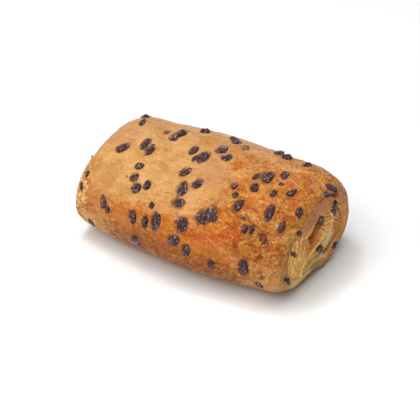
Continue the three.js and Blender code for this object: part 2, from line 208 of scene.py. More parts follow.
@dataclass(frozen=True)
class RollForm:
    """The pillow-shaped log: sizes in millimetres, and its surface as functions."""

    length: float = 115
    width: float = 80
    height: float = 48.9
    top_squareness: float = 2.15
    front_base_squareness: float = 3.1
    back_base_squareness: float = 2.2
    belt: float = 0.42
    base_flattening: float = 1.5
    foot_rim: float = 10
    hang_y: float = 8.1
    hang_width: float = 5.6
    hang_reach: float = 14
    samples: int = 1440
    seam_angle: float = math.radians(256)
    flap: float = 3.4
    pitch: float = 10.6
    swell_from: float = 1
    swell_full: float = 14
    face_out: float = 0.8
    probe: float = 0.5

    @property
    def half(self) -> float:
        """Half of the length."""
        return self.length / 2

    @staticmethod
    def quarter_round(from_end: Array, radius: Array) -> Array:
        """How far a quarter round falls away: 0 at its radius from the end, 1 at the end."""
        into = np.clip((radius - from_end) / radius, 0, 1)
        return 1 - np.sqrt(1 - into * into)

    def section(self, x: Array) -> tuple[Array, Array, Array]:
        """Half width, height and foot of the section at x."""
        left = np.asarray(x) < 0

        def pick(name: str) -> Array:
            """A size of the nearer end."""
            return np.where(left, getattr(LEFT_END, name), getattr(RIGHT_END, name))

        from_end = self.half - np.abs(x)
        taper = 1 - pick("narrowing") * (x / self.half) ** 2
        side, top = pick("side_rim"), pick("top_rim")
        half_width = self.width / 2 * taper - side * self.quarter_round(from_end, side)
        height = self.height - top * self.quarter_round(from_end, top)
        foot = pick("foot_lift") * self.quarter_round(from_end, np.asarray(self.foot_rim))
        return half_width, height, foot

    def outline(self, x: Array, angle: Array, depth: Array | float = 0.0) -> Array:
        """Points of the outline of the section at x, or of a turn that lies inside it.

        Args:
            x: places along the roll.
            angle: from the back over the top and down the front to the underside, in radians.
            depth: how deep the turn lies.

        Returns:
            An array whose last axis holds y and z.
        """
        half_width, height, foot = self.section(x)
        sine, cosine = np.sin(angle), np.cos(angle)
        belt = height * self.belt
        top = 2 / self.top_squareness
        y = np.sign(cosine) * np.abs(cosine) ** top * (half_width - depth)
        over = foot + belt + (height - belt - depth) * np.maximum(sine, 0) ** top
        base = np.where(cosine < 0, self.front_base_squareness, self.back_base_squareness)
        swept = 1 - np.abs(sine) ** (2 / base)
        bowl = np.maximum((belt + self.base_flattening) * swept - self.base_flattening, 0)
        under = foot + depth + bowl * (1 - depth / belt)
        return np.stack([y, np.where(sine >= 0, over, under)], axis=-1)

    def skin(self, x: Array, angle: Array) -> Array:
        """Points of the crust with the slow swell of the baked roll.

        Args:
            x: places along the roll.
            angle: places round it, as for the outline.

        Returns:
            An array whose last axis holds x, y and z.
        """
        x, angle = np.broadcast_arrays(np.asarray(x, float), np.asarray(angle, float))
        flat = self.outline(x, angle)
        y, z = flat[..., 0], flat[..., 1]
        waves = np.zeros_like(x)
        for one in SWELLS:
            pairs = zip((np.sin, np.cos), (one.heights[:2], one.heights[2:]))
            for by_x, (first, second) in pairs:
                wave = first * np.sin(one.round * angle) + second * np.cos(one.round * angle)
                waves += by_x(one.along * x) * wave
        push = waves * smooth(z, self.swell_from, self.swell_full)
        curl = self.quarter_round(self.half - np.abs(x), np.asarray(self.foot_rim))
        near = bell(y, self.hang_y, self.hang_width) * np.clip(1 - z / self.hang_reach, 0, 1)
        hang = np.where(x < 0, LEFT_END.hang, RIGHT_END.hang) * near * curl
        low = np.maximum(z + push * np.sin(angle) - hang, 0)
        return np.stack([x, y + push * np.cos(angle), low], axis=-1)

    def girth_table(self) -> Pair:
        """Angles and the lengths round the belly up to them."""
        angles = np.linspace(0, FULL_TURN, self.samples + 1)
        points = self.outline(np.zeros_like(angles), angles)
        steps = np.linalg.norm(np.diff(points, axis=0), axis=1)
        return angles, np.concatenate([[0], np.cumsum(steps)])

    def angle_at(self, girth: Array) -> Array:
        """Angles at millimetres of girth from the crest, positive down the front."""
        angles, lengths = self.girth_table()
        along = np.mod(lengths[self.samples // 4] + np.asarray(girth, float), lengths[-1])
        return np.interp(along, lengths, angles)

    def place(self, x: float, girth: float) -> Place:
        """The place on the crust at x and a girth."""
        step = self.probe

        def at(dx: float, dg: float) -> Array:
            """A point a little way off."""
            near = np.clip(x + dx, -self.half, self.half)
            return self.skin(near, self.angle_at(girth + dg))

        def unit(vector: Array) -> Array:
            """The vector at length 1."""
            return vector / np.linalg.norm(vector)

        back = unit(at(-step, 0) - at(step, 0))
        around = unit(at(0, step) - at(0, -step))
        outward = unit(np.cross(back, around))
        return Place(at(0, 0), np.cross(around, outward), around, outward)

    def face_place(self, end: End, y: float, z: float, inset: float) -> Place:
        """A place in the swirl of an end."""
        return Place(
            np.array([end.side * (self.half + self.face_out - inset), y, z]),
            np.array([0, 0, -end.side]),
            np.array([0, 1, 0]),
            np.array([end.side, 0, 0]),
        )


FORM = RollForm()


# ---- Where the raisins lie ----
@dataclass(frozen=True)
class Shown:
    """A raisin in sight: place on the crust, size, lean, dough over it and how proud it stands."""

    x: float
    girth: float
    width: float
    length: float
    lean: float = 0
    veil: float = 0
    proud: float = 1


@dataclass
class Raisin:
    """One raisin, lying in its place."""

    place: Place
    width: float
    length: float
    thickness: float
    lean: float
    rise: float
    veil: float
    on_crust: bool

    @property
    def axes(self) -> Pair:
        """Directions of its width and of its length."""
        cosine, sine = math.cos(self.lean), math.sin(self.lean)
        across = cosine * self.place.back + sine * self.place.round
        along = cosine * self.place.round - sine * self.place.back
        return across, along

    @property
    def centre(self) -> Array:
        """Its middle, sunk into the dough."""
        return self.place.point - self.place.outward * (self.thickness / 2 - self.rise)


SHOWN = tuple(
    Shown(*numbers)
    for numbers in (
        (-22.6, -2.8, 4.8, 8.4, 12), (-22.2, -8.6, 4.8, 10, 4, 0.1),
        (-28.3, -4.4, 3, 5, 0, 0.5), (-8.1, 3.4, 4, 8.6, 4, 0.1),
        (-0.8, 6.2, 5.8, 10.4, 8, 0.05), (-3.5, 8.7, 3.6, 5.6, 10, 0.1),
        (3, -3.1, 5.6, 8, 10, 0.1), (9, 1.9, 5, 5.7, -12, 0.1),
        (-30.8, 10.6, 4.3, 9.4, 6, 0.1), (-26.3, 13.5, 4.5, 8.4, 6, 0.1),
        (-39.6, 17.6, 4.8, 8, -30, 0.15), (-25.5, 24.5, 4.9, 4, 25, 0.1),
        (-24.9, 30.6, 4.8, 5, 0, 0.35), (-21.4, 34.8, 5.6, 5.4, 20, 0.12),
        (-16.4, 31.9, 3.8, 5.2, 0, 0.15), (-10.3, 39.7, 3.1, 3.5, -20, 0.3),
        (-3.2, 18.7, 4.7, 6.6, -25, 0.3), (5.8, 22.5, 4.9, 6.2, -10, 0.1),
        (0.4, 27.6, 5.6, 8, 8, 0.15), (2, 34.4, 7, 5.2, 5, 0.12), (15.8, 37.6, 7, 7),
        (19.5, 34.6, 6.4, 8.2, 25), (7.3, 43.4, 6.8, 7.6, -15, 0.05),
        (-6.1, 45.7, 4.9, 9.6, 10), (-11.8, 47.8, 3.7, 7, 0, 0.12),
        (-19.5, 48, 4.9, 7.6, 10, 0.12), (-37.9, 47.9, 4, 6.6, 10, 0.36),
        (-35.1, 50.3, 3.4, 4, 40, 0.3), (4.7, 51.4, 7.2, 4.9, 18, 0.12),
        (11.3, 54.2, 4.8, 6.2, -15, 0.05), (-17.7, 60.8, 5.8, 7.4, 0, 0.08),
        (23.9, 58.4, 4, 5.8, 12, 0.1), (39.8, 55.5, 5.2, 9.6, -8), (29.4, 26.9, 4.9, 8.8, 3),
        (25.7, 22.5, 3.2, 3.8, 20, 0.4), (22.5, 17.9, 3.6, 4.4, 10, 0.35),
        (31.3, 15.2, 4.5, 6.8, 20, 0.05), (28.4, 7.5, 3.2, 5.8, 0, 0.15),
        (32.6, 5.1, 6.2, 9.2, 15, 0.05), (38.5, -0.9, 4, 7.2, 12, 0.05),
        (40.5, 7.3, 2.4, 2.4, 0, 0.2), (40.8, 15.1, 3.1, 4.6, 10, 0.05),
        (47.2, 9.2, 2.9, 7.2, -10), (54.5, 16.8, 3.3, 5.8, 5), (44.4, 26.4, 4.4, 9.6, 8),
        (51.6, 30, 3.2, 5.8), (37.1, 37.5, 3.6, 5.6), (40.3, 36.7, 3.1, 5.2, 5),
        (35, 32.3, 4.5, 3.4, 0, 0.5), (29.5, -19.9, 4.8, 6.5, 10, 0.05, 1.8),
        (24.4, -21.6, 4.4, 6, 10, 0.1, 1.8), (3.9, -15.1, 4.8, 6, 10, 0.1, 1.6),
        (0.1, -18.6, 3.6, 4.6, 0, 0.2, 1.2), (10.8, -11.8, 4, 6.5, 15, 0.4),
        (-15.4, -19.3, 5, 6.4, 10, 0.05, 2), (40.6, -20, 4, 5.6, 0, 0, 1.6),
        (-42.7, -5.5, 3, 7, 20, 0.1), (-46.4, -15.5, 5.2, 4.6, 0, 0.05, 1.6),
        (-46.6, 62.7, 3.2, 5, 20), (-52.4, 37.6, 3, 3.6, 0, 0.3),
        (-53.8, 44.5, 3, 4, 10, 0.05), (46.7, 63.8, 4, 5, 10, 0.3), (56.2, -15.2, 3.4, 6, -30),
        (57.3, -19.9, 3, 4.4, -40), (57.2, -8.5, 2.8, 4.6, -35),
    )
)


@dataclass(frozen=True)
class FaceRaisin:
    """A raisin in the swirl, across the roll and up, its lean in degrees from the horizontal."""

    width: float
    length: float
    y: float
    z: float
    lean: float
    inset: float = 0


FACE_RAISINS = (
    FaceRaisin(2.8, 7.8, -28.4, 14, 118, 0.4),
    FaceRaisin(2.6, 7.2, -24.2, 26.2, 126, 0.4),
    FaceRaisin(2.8, 4, -19.2, 34.6, 145, 0.4),
    FaceRaisin(4.2, 11, 3.6, 28.2, 136, 1.9),
    FaceRaisin(5.4, 8.4, 13.8, 29.6, 90),
    FaceRaisin(4.2, 6, -0.6, 16.2, 141),
    FaceRaisin(2.8, 4.4, 15.4, 8.8, 5, -0.2),
)


@dataclass(frozen=True)
class HiddenRaisins:
    """The rows of raisins on the sides that the camera can't see, by the solid's own rule."""

    rows: int = 4
    each: int = 8
    first_row: float = -38
    row_step: float = -12
    shake: float = 4.5
    reach: float = 0.88
    greatest_lean: float = 35
    seed: int = 121


class Kind(Enum):
    """The sizes of hidden raisins: width, length and thickness."""

    LARGE = (4.8, 8.6, 4.6)
    MEDIUM = (4.8, 6.5, 4.2)
    SMALL = (3.3, 4.6, 3.0)


@dataclass
class RaisinScatter:
    """Every raisin of the roll, those in sight first."""

    rise: float = 0.9
    rise_spread: float = 0.25
    seed: int = 20
    veil_seed: int = 7
    left_inset: float = 1.3
    left_narrower: float = 0.9
    left_shake: float = 2
    left_turn: float = 25
    face_thickness: float = 4.2
    most_veil: float = 0.3
    veil_sinks: float = 0.5
    thick_share: float = 0.62
    thick_least: float = 0.9
    hidden: HiddenRaisins = HiddenRaisins()

    def __post_init__(self) -> None:
        """Draws the raisins."""
        self.draws = Draws(self.seed)
        self.raisins = list(self._in_sight())
        self.draws = Draws(self.hidden.seed)
        self.raisins += [*self._in_ends(), *self._hidden()]

    def _any_rise(self) -> float:
        """How far a raisin stands out, drawn for it."""
        return self.rise * (1 + self.draws.shake(self.rise_spread))

    def _in_sight(self) -> Iterator[Raisin]:
        """The raisins that show on the crust."""
        for one in SHOWN:
            thickness = self.thick_share * math.sqrt(one.width * one.length) + self.thick_least
            rise = self._any_rise() * one.proud * (1 - self.veil_sinks * one.veil)
            place = FORM.place(one.x, one.girth)
            lean = math.radians(one.lean)
            yield Raisin(place, one.width, one.length, thickness, lean, rise, one.veil, True)

    def _in_ends(self) -> Iterator[Raisin]:
        """The raisins of the two swirls, shaken a little at the left end."""
        thickness, shake = self.face_thickness, self.draws.shake
        for one in FACE_RAISINS:
            rise = self._any_rise()
            place = FORM.face_place(RIGHT_END, one.y, one.z, one.inset)
            lean = math.radians(one.lean)
            yield Raisin(place, one.width, one.length, thickness, lean, rise, 0, False)
            y = one.y * self.left_narrower + shake(self.left_shake)
            z = one.z + shake(self.left_shake)
            lean = -math.radians(one.lean + shake(self.left_turn))
            place = FORM.face_place(LEFT_END, y, z, one.inset + self.left_inset)
            rise = self._any_rise()
            yield Raisin(place, one.width, one.length, thickness, lean, rise, 0, False)

    def _hidden(self) -> Iterator[Raisin]:
        """The raisins of the back and of the far sides."""
        rule = self.hidden
        kinds = (Kind.LARGE, Kind.MEDIUM, Kind.MEDIUM, Kind.SMALL)
        veils = Draws(self.veil_seed)
        for row in range(rule.rows):
            for i in range(rule.each):
                along = (i + 0.5 + (row - 1.5) / rule.rows) / rule.each
                x = rule.reach * (2 * along - 1) * FORM.half + self.draws.shake(rule.shake)
                girth = rule.first_row + rule.row_step * row + self.draws.shake(rule.shake)
                width, length, thickness = kinds[int(self.draws.next() * 4)].value
                lean = math.radians(self.draws.shake(rule.greatest_lean))
                rise, veil = self._any_rise(), self.most_veil * veils.next() ** 2
                place = FORM.place(x, girth)
                yield Raisin(place, width, length, thickness, lean, rise, veil, True)


# ---- Meshes ----
def mesh_of(shape: bmesh.types.BMesh, name: str) -> bpy.types.Mesh:
    """A new mesh made from a shape, which is then let go."""
    mesh = bpy.data.meshes.new(name)
    shape.to_mesh(mesh)
    shape.free()
    return mesh


def set_points(mesh: bpy.types.Mesh, points: Array) -> None:
    """Moves the points of a mesh to places given in millimetres."""
    mesh.vertices.foreach_set("co", (points * MM).astype(np.float32).ravel())


def keep_value(mesh: bpy.types.Mesh, name: str, value: Array) -> None:
    """Keeps a named value with the points of a mesh, for its finish."""
    layer = mesh.attributes.new(name, "FLOAT", "POINT")
    layer.data.foreach_set("value", value.astype(np.float32).ravel())


def put_in(name: str, data: bpy.types.ID) -> Piece:
    """A new object in the scene."""
    thing = bpy.data.objects.new(name, data)
    bpy.context.scene.collection.objects.link(thing)
    return thing


def bent_grid(name: str, parts: list[Array], values: Values) -> Piece:
    """A piece made of a flat grid that is bent round to given points, its open seams welded.

    Args:
        name: the name of the piece.
        parts: three lots of rows of points in millimetres, the second of which shows.
        values: named values of the points of the second lot.

    Returns:
        The piece, its faces outward.
    """
    points = np.concatenate(parts)
    points[:, -1] = points[:, 0]
    rows, columns = points.shape[:2]
    grid = bmesh.new()
    bmesh.ops.create_grid(grid, x_segments=columns - 1, y_segments=rows - 1, size=1)
    mesh = mesh_of(grid, name)
    set_points(mesh, points)
    spare = ((len(parts[0]), len(parts[2])), (0, 0))
    for key, value in values.items():
        padded = np.pad(value, spare, mode="edge")
        padded[:, -1] = padded[:, 0]
        keep_value(mesh, key, padded)
    closed = bmesh.new()
    closed.from_mesh(mesh)
    bmesh.ops.remove_doubles(closed, verts=closed.verts, dist=WELD)
    bmesh.ops.recalc_face_normals(closed, faces=closed.faces)
    for face in closed.faces:
        face.smooth = True
    closed.to_mesh(mesh)
    closed.free()
    return put_in(name, mesh)


def hand_in(piece: Piece, finish: Material) -> Piece:
    """Dresses a piece and lets it stand for the solid.

    Args:
        piece: the piece.
        finish: its only material.

    Returns:
        The same piece.
    """
    piece.data.materials.clear()
    piece.data.materials.append(finish)
    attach(piece, BODY)
    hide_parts(NODE)
    return piece


# ---- Finishes ----
@dataclass(frozen=True)
class Noise:
    """Noise: grain in millimetres, detail, how far its grains are drawn out, and its twist."""

    size: float
    detail: float = 4
    along: float = 1
    across: float = 1
    twist: float = 0


@dataclass(frozen=True)
class Band:
    """Noise spread so that low becomes 0 and high becomes 1, and how strongly it colours."""

    noise: Noise
    low: float
    high: float
    share: float = 1


@dataclass(frozen=True)
class Wrinkles:
    """Relief that is too fine for the mesh: its noise and its height in millimetres."""

    noise: Noise
    height: float


class Bench:
    """A material under construction, with short calls for the nodes it is made of."""

    def __init__(self, name: str) -> None:
        """Starts a material of that name."""
        self.material = bpy.data.materials.new(name)
        self.material.use_nodes = True
        self.tree = self.material.node_tree
        self.shader = self.tree.nodes["Principled BSDF"]
        self.coordinates = self.tree.nodes.new("ShaderNodeTexCoord").outputs["Object"]
        self.colour: object = None

    def feed(self, item: object, socket: Socket) -> None:
        """Gives an input another socket, a colour or a number."""
        if isinstance(item, Socket):
            self.tree.links.new(item, socket)
        else:
            socket.default_value = (*item, 1) if isinstance(item, tuple) else item

    def set(self, **constants: float | tuple[float, ...]) -> None:
        """Sets the shader's own values, spaces in their names written as underscores."""
        for name, value in constants.items():
            self.shader.inputs[name.replace("_", " ")].default_value = value

    def value(self, attribute: str) -> Socket:
        """A value kept with the piece's points."""
        node = self.tree.nodes.new("ShaderNodeAttribute")
        node.attribute_name = attribute
        return node.outputs["Fac"]

    def maths(self, kind: str, first: object, second: object) -> Socket:
        """One step of arithmetic on sockets or numbers."""
        node = self.tree.nodes.new("ShaderNodeMath")
        node.operation = kind
        self.feed(first, node.inputs[0])
        self.feed(second, node.inputs[1])
        return node.outputs[0]

    def noise(self, kind: Noise) -> Socket:
        """The noise, between 0 and 1."""
        mapping = self.tree.nodes.new("ShaderNodeMapping")
        self.feed(self.coordinates, mapping.inputs["Vector"])
        stretch = (kind.along, kind.across, 1)
        mapping.inputs["Scale"].default_value = [1 / (kind.size * MM * s) for s in stretch]
        node = self.tree.nodes.new("ShaderNodeTexNoise")
        self.feed(mapping.outputs[0], node.inputs["Vector"])
        node.inputs["Scale"].default_value = 1
        node.inputs["Detail"].default_value = kind.detail
        node.inputs["Distortion"].default_value = kind.twist
        return node.outputs["Fac"]

    def spread(self, source: Socket, low: float, high: float) -> Socket:
        """The source spread so that low becomes 0 and high becomes 1."""
        node = self.tree.nodes.new("ShaderNodeMapRange")
        node.interpolation_type = "SMOOTHSTEP"
        self.feed(source, node.inputs["Value"])
        node.inputs["From Min"].default_value = low
        node.inputs["From Max"].default_value = high
        return node.outputs["Result"]

    def band(self, one: Band) -> Socket:
        """The noise of a band, spread."""
        return self.spread(self.noise(one.noise), one.low, one.high)

    def coat(self, over: Colour, share: object, *shares: object) -> None:
        """Lays a colour over the colour so far.

        Args:
            over: the new colour.
            share: how much of it shows, a socket or a number.
            shares: what that is multiplied by.
        """
        for factor in shares:
            share = self.maths("MULTIPLY", share, factor)
        node = self.tree.nodes.new("ShaderNodeMix")
        node.data_type = "RGBA"
        for i, item in ((0, share), (6, self.colour), (7, over)):
            self.feed(item, node.inputs[i])
        self.colour = node.outputs[2]

    def close(self, *layers: Wrinkles, coated: bool = True) -> None:
        """Joins the colour and the relief to the shader.

        Args:
            layers: the layers of relief, the coarsest first.
            coated: whether the gloss over the colour follows the relief.
        """
        self.feed(self.colour, self.shader.inputs["Base Color"])
        relief = None
        for one in layers:
            node = self.tree.nodes.new("ShaderNodeBump")
            node.inputs["Distance"].default_value = one.height * MM
            self.feed(self.noise(one.noise), node.inputs["Height"])
            if relief is not None:
                self.feed(relief, node.inputs["Normal"])
            relief = node.outputs["Normal"]
        self.feed(relief, self.shader.inputs["Normal"])
        if coated:
            self.feed(relief, self.shader.inputs["Coat Normal"])


@dataclass(frozen=True)
class CrustFinish:
    """Glossy browned crust: golden where it is thin, orange and brown where the heat was, with
    painted highlights (glints, streaks and a partly painted sheen) and painted shade in its grooves
    and round its raisins.
    """

    golden: Colour = srgb(180, 127, 68)
    pale: Colour = srgb(206, 155, 96)
    rosy_sheen: Colour = srgb(184, 128, 92)
    honey: Colour = srgb(180, 94, 4)
    highlight_honey: Colour = srgb(230, 170, 74)
    # light honey: partly the paler egg wash of blister tops, partly a painted highlight on them and
    # on fold crests
    yellow: Colour = srgb(208, 146, 56)
    glowing: Colour = srgb(176, 58, 2)
    brown: Colour = srgb(122, 50, 2)
    scorched: Colour = srgb(74, 34, 26)
    crumb: Colour = srgb(226, 186, 120)
    cream: Colour = srgb(228, 182, 106)
    glint: Colour = srgb(246, 206, 140)
    # painted highlight: a pale colour laid on as small glints
    ring_shade_brown: Colour = srgb(104, 58, 44)
    egg_wash: Colour = (1.0, 0.8, 0.55)
    broad: Band = Band(Noise(8, 4, 1.4, twist=0.6), 0.32, 0.68)
    fine: Band = Band(Noise(2, 5, 1.5, twist=1), 0.36, 0.64)
    speck: Band = Band(Noise(1, 4, 1.2, twist=0.6), 0.4, 0.62)
    # painted highlight: pale streaks where the egg wash would catch the light
    highlight_streaks: Band = Band(Noise(0.9, 4, 3.2, twist=1.4), 0.5, 0.66, 0.42)
    lines: Band = Band(Noise(1.1, 4, 3, twist=1.8), 0.54, 0.68, 0.36)
    gold: Band = Band(Noise(4.5, 4, 1.3, twist=1.2), 0.5, 0.62, 0.42)
    pools: Band = Band(Noise(3, 4, 1.3, twist=0.9), 0.52, 0.64, 0.4)
    painted_glints: Band = Band(Noise(1.5, 3, 1.8, twist=1.6), 0.6, 0.7, 0.6)
    crumples: Wrinkles = Wrinkles(Noise(2.6, 5, 1.8, twist=1.2), 1.2)
    grain: Wrinkles = Wrinkles(Noise(1, 3, 1.5, twist=0.5), 0.6)
    groove_shade_share: float = 0.5
    groove_shade_ground: float = 0.25
    blister_highlight_share: float = 0.3
    raggedness: float = 0.4
    gate: Range = (0.02, 0.2)

    def material(self) -> Material:
        """The finish as nodes."""
        bench = Bench("browned_crust")
        fine, speck, busy = bench.band(self.fine), bench.band(self.speck), bench.value("busy")
        plain = bench.maths("SUBTRACT", 1.0, busy)
        groove_shade_weight = bench.maths("ADD", busy, self.groove_shade_ground)
        bench.colour = self.golden
        bench.coat(self.pale, bench.band(self.broad))
        # pinkish patches on the top and back: partly the crust's own tone, partly a painted sheen
        bench.coat(self.rosy_sheen, bench.value("rosy_sheen"))
        bench.coat(self.honey, self._ragged(bench, "honey", fine))
        bench.coat(self.brown, self._ragged(bench, "brown", fine))
        bench.coat(self.glowing, self._ragged(bench, "glow", speck))
        # painted shade: the fine grooves darkened with brown
        bench.coat(self.brown, bench.value("groove_and_shade"), groove_shade_weight, self.groove_shade_share)
        # painted highlight: cream streaks over the plain crust
        bench.coat(self.cream, bench.band(self.highlight_streaks), plain, self.highlight_streaks.share)
        bench.coat(self.honey, bench.band(self.lines), self.lines.share)
        bench.coat(self.yellow, bench.band(self.gold), busy, self.gold.share)
        bench.coat(self.brown, bench.band(self.pools), busy, self.pools.share)
        # blister tops, partly paler egg wash and partly painted highlight; fold crests, painted
        # highlight
        bench.coat(self.highlight_honey, bench.value("blister_and_crest_highlight"), busy, self.blister_highlight_share)
        # painted highlight: pale glints over the busy crust
        bench.coat(self.glint, bench.band(self.painted_glints), busy, self.painted_glints.share)
        bench.coat(self.crumb, self._ragged(bench, "flake", fine))
        bench.coat(self.scorched, self._ragged(bench, "scorch", speck))
        # painted shade: a dark ring where the dough meets each raisin
        bench.coat(self.ring_shade_brown, self._ragged(bench, "ring_shade", fine))
        bench.close(self.crumples, self.grain)
        bench.set(
            Roughness=0.42, IOR=1.45, Specular_IOR_Level=0.1, Specular_Tint=(*self.egg_wash, 1),
            Coat_Weight=0.26, Coat_Roughness=0.1, Coat_IOR=1.45, Subsurface_Weight=0.05,
            Subsurface_Radius=(1.0, 0.5, 0.2), Subsurface_Scale=0.001,
        )
        return bench.material

    def _ragged(self, bench: Bench, attribute: str, noise: Socket) -> Socket:
        """A value of the crust with a broken edge.

        Args:
            bench: the material's bench.
            attribute: the name of the value.
            noise: what breaks its edge.

        Returns:
            The broken value, between 0 and 1.
        """
        value = bench.value(attribute)
        shake = bench.maths("MULTIPLY", bench.maths("SUBTRACT", noise, 0.5), self.raggedness)
        broken = bench.spread(bench.maths("ADD", value, shake), 0.0, 1.0)
        return bench.maths("MULTIPLY", broken, bench.spread(value, *self.gate))


@dataclass(frozen=True)
class CrumbFinish:
    """The cut layers of the swirl: cream edges over golden, with olive painted shade in the hollows
    and gaps, toasted outside.
    """

    cream: Colour = srgb(252, 216, 128)
    golden: Colour = srgb(206, 132, 16)
    orange: Colour = srgb(196, 98, 2)
    shade_olive: Colour = srgb(132, 86, 12)
    straw: Colour = srgb(206, 166, 78)
    white: Colour = srgb(250, 234, 190)
    toasted: Colour = srgb(194, 116, 26)
    baked: Colour = srgb(150, 72, 10)
    fleck: Colour = srgb(232, 176, 92)
    brown: Colour = srgb(112, 54, 16)
    fine: Band = Band(Noise(1.2), 0.3, 0.7, 0.28)
    speck: Band = Band(Noise(0.6, 3), 0.35, 0.65, 0.15)
    blots: Band = Band(Noise(2.6, 4, 1, 1.3, 0.9), 0.46, 0.62, 0.5)
    flecks: Band = Band(Noise(1.3, 4, 1, 1.6, 1.2), 0.52, 0.66, 0.6)
    grain: Wrinkles = Wrinkles(Noise(1.2, twist=0.6), 0.6)

    def material(self) -> Material:
        """The finish as nodes."""
        bench = Bench("cut_layers")
        toast = bench.value("toast")
        bench.colour = self.golden
        bench.coat(self.straw, bench.value("straw"))
        bench.coat(self.cream, bench.value("ridge"))
        bench.coat(self.orange, bench.value("orange"))
        # painted shade: olive in the pocket and in the gaps between layers
        bench.coat(self.shade_olive, bench.value("hollow_shade"))
        bench.coat(self.white, bench.value("white"))
        bench.coat(self.cream, bench.band(self.speck), self.speck.share)
        bench.coat(self.toasted, toast)
        bench.coat(self.orange, bench.band(self.fine), self.fine.share)
        bench.coat(self.baked, bench.band(self.blots), toast, self.blots.share)
        bench.coat(self.fleck, bench.band(self.flecks), toast, self.flecks.share)
        bench.coat(self.brown, bench.value("brown"))
        bench.close(self.grain, coated=False)
        bench.set(
            Roughness=0.5, IOR=1.45, Coat_Weight=0.15, Coat_Roughness=0.3, Subsurface_Weight=0.15,
            Subsurface_Radius=(1.0, 0.6, 0.3), Subsurface_Scale=0.0015,
        )
        return bench.material


@dataclass(frozen=True)
class RaisinFinish:
    """Dark wrinkled skin with a gloss, brown where a film of dough lies over it, with painted
    highlight specks and painted shade in its creases.
    """

    skin: Colour = srgb(38, 12, 14)
    worn: Colour = srgb(104, 52, 46)
    # painted highlight: a pale colour for specks of glint on the skin
    highlight_specks: Colour = srgb(206, 190, 204)
    dough: Colour = srgb(186, 128, 84)
    wear: Band = Band(Noise(1.5, twist=1.2), 0.42, 0.62)
    spots: Band = Band(Noise(0.8, 3, twist=0.8), 0.56, 0.66, 0.75)
    film: Band = Band(Noise(1.6), 0.86, 1.12)
    wrinkles: Wrinkles = Wrinkles(Noise(1.5, 3, twist=1.2), 1.4)
    pores: Wrinkles = Wrinkles(Noise(0.7, 2), 0.5)

    def material(self) -> Material:
        """The finish as nodes."""
        bench = Bench("raisin_skin")
        covered = bench.maths("ADD", bench.value("veil"), bench.noise(self.film.noise))
        bench.colour = self.skin
        bench.coat(self.worn, bench.band(self.wear))
        # painted highlight: pale specks on the skin
        bench.coat(self.highlight_specks, bench.band(self.spots), self.spots.share)
        # painted shade: the creases darkened to the darkest skin colour
        bench.coat(self.skin, bench.value("crease"))
        bench.coat(self.dough, bench.spread(covered, self.film.low, self.film.high))
        bench.close(self.wrinkles, self.pores)
        bench.set(
            Roughness=0.5, IOR=1.45, Specular_IOR_Level=0.15, Coat_Weight=0.6, Coat_Roughness=0.1,
        )
        return bench.material


@dataclass(frozen=True)
class FloorFinish:
    """A plain pale tabletop."""

    shade: Colour = (0.82, 0.82, 0.82)

    def material(self) -> Material:
        """The finish as nodes."""
        bench = Bench("pale_floor")
        bench.set(Base_Color=(*self.shade, 1), Roughness=0.7, IOR=1.3)
        return bench.material


# ---- Spots and folds ----
@dataclass(frozen=True)
class Spot:
    """A soft-edged spot: middle, half sizes, its strength or depth, and its lean in degrees."""

    first: float
    second: float
    half_first: float
    half_second: float
    amount: float
    lean: float = 0

    def away(self, first: Array, second: Array) -> Array:
        """Distance of places from the middle, 1 at the edge."""
        cosine, sine = math.cos(math.radians(self.lean)), math.sin(math.radians(self.lean))
        by_first, by_second = first - self.first, second - self.second
        u = (cosine * by_first + sine * by_second) / self.half_first
        v = (cosine * by_second - sine * by_first) / self.half_second
        return np.sqrt(u * u + v * v)


def spots(*rows: tuple[float, ...]) -> tuple[Spot, ...]:
    """Spots given as rows of their numbers."""
    return tuple(Spot(*row) for row in rows)


@dataclass(frozen=True)
class Edge:
    """How spots fade: how far their edge wavers, where they end and where they are full."""

    waver: float
    end: float
    full: float

    def paint(self, marks: tuple[Spot, ...], places: Pair, warp: Array) -> Array:
        """How strongly spots colour each place.

        Args:
            marks: the spots, of which the strongest counts.
            places: the two coordinates that the spots are given in.
            warp: unevenness between -1 and 1.

        Returns:
            A strength for each place.
        """
        total = np.zeros_like(places[0])
        for one in marks:
            away = one.away(*places) + self.waver * warp
            total = np.maximum(total, one.amount * smooth(away, self.end, self.full))
        return total


@dataclass(frozen=True)
class Fold:
    """A raised line of dough: its corners, height and width."""

    corners: tuple[Range, ...]
    height: float
    width: float

    def away(self, first: Array, second: Array) -> Array:
        """Distance of places from the line."""
        best = np.full_like(first, np.inf)
        for (a0, b0), (a1, b1) in zip(self.corners, self.corners[1:]):
            da, db = a1 - a0, b1 - b0
            share = ((first - a0) * da + (second - b0) * db) / (da * da + db * db)
            share = np.clip(share, 0, 1)
            best = np.minimum(best, np.hypot(first - a0 - share * da, second - b0 - share * db))
        return best


